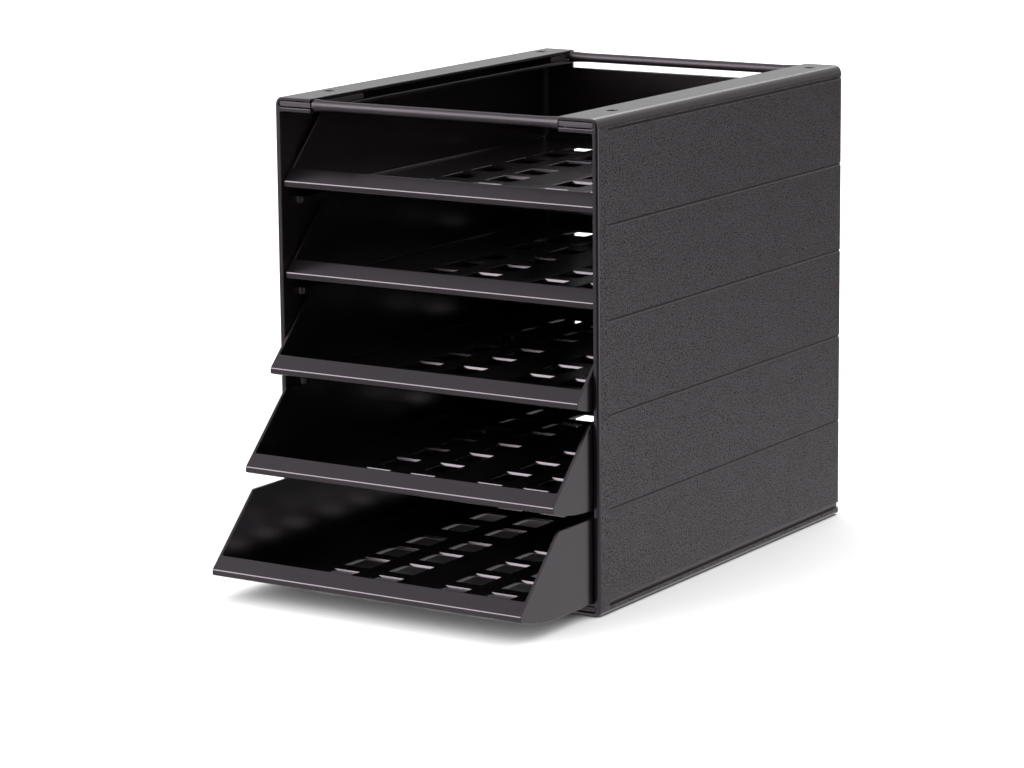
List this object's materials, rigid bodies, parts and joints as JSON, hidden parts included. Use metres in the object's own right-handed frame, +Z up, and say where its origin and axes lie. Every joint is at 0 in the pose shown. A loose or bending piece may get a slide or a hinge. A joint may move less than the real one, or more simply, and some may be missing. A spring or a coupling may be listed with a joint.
{
  "type": "desktop drawer box",
  "caption": "Open-fronted desktop drawer box for paper: two moulded sides joined by slim crossbars, with shallow sliding drawers that have perforated floors.",
  "frame": {"origin": "on the table, under the middle of the box that the object fills with its drawers as they rest", "axes": "+Z up, -Y the way the drawers pull out, +X to the right seen from the front"},
  "size_m": [0.249, 0.418, 0.322],
  "materials": {
    "side_plastic": "fine-grained matte moulding, plain at the front border and along the rails",
    "bar_plastic": "satin moulding",
    "drawer_plastic": "satin moulding",
    "foot_rubber": "matte",
    "screw_steel": "black zinc"
  },
  "bodies": {
    "housing": {"side_right": "side_plastic", "side_left": "side_plastic", "crossbar_front_top": "bar_plastic", "crossbar_rear_top": "bar_plastic", "crossbar_front_bottom": "bar_plastic", "crossbar_rear_bottom": "bar_plastic", "screw_top_front_left": "screw_steel", "screw_bottom_front_left": "screw_steel", "screw_top_rear_left": "screw_steel", "screw_bottom_rear_left": "screw_steel", "screw_top_front_right": "screw_steel", "screw_bottom_front_right": "screw_steel", "screw_top_rear_right": "screw_steel", "screw_bottom_rear_right": "screw_steel", "foot_front_left": "foot_rubber", "foot_rear_left": "foot_rubber", "foot_front_right": "foot_rubber", "foot_rear_right": "foot_rubber"},
    "drawer_1": {"drawer_1": "drawer_plastic"},
    "drawer_2": {"drawer_2": "drawer_plastic"},
    "drawer_3": {"drawer_3": "drawer_plastic"},
    "drawer_4": {"drawer_4": "drawer_plastic"},
    "drawer_5": {"drawer_5": "drawer_plastic"}
  },
  "joints": [
    {"name": "drawer_1_slide", "type": "slide", "parent": "housing", "child": "drawer_1", "axis": [0, -1, 0], "range_m": [0, 0.235]},
    {"name": "drawer_2_slide", "type": "slide", "parent": "housing", "child": "drawer_2", "axis": [0, -1, 0], "range_m": [0, 0.235]},
    {"name": "drawer_3_slide", "type": "slide", "parent": "housing", "child": "drawer_3", "axis": [0, -1, 0], "range_m": [-0.02, 0.215]},
    {"name": "drawer_4_slide", "type": "slide", "parent": "housing", "child": "drawer_4", "axis": [0, -1, 0], "range_m": [-0.05, 0.185]},
    {"name": "drawer_5_slide", "type": "slide", "parent": "housing", "child": "drawer_5", "axis": [0, -1, 0], "range_m": [-0.089, 0.146]}
  ]
}
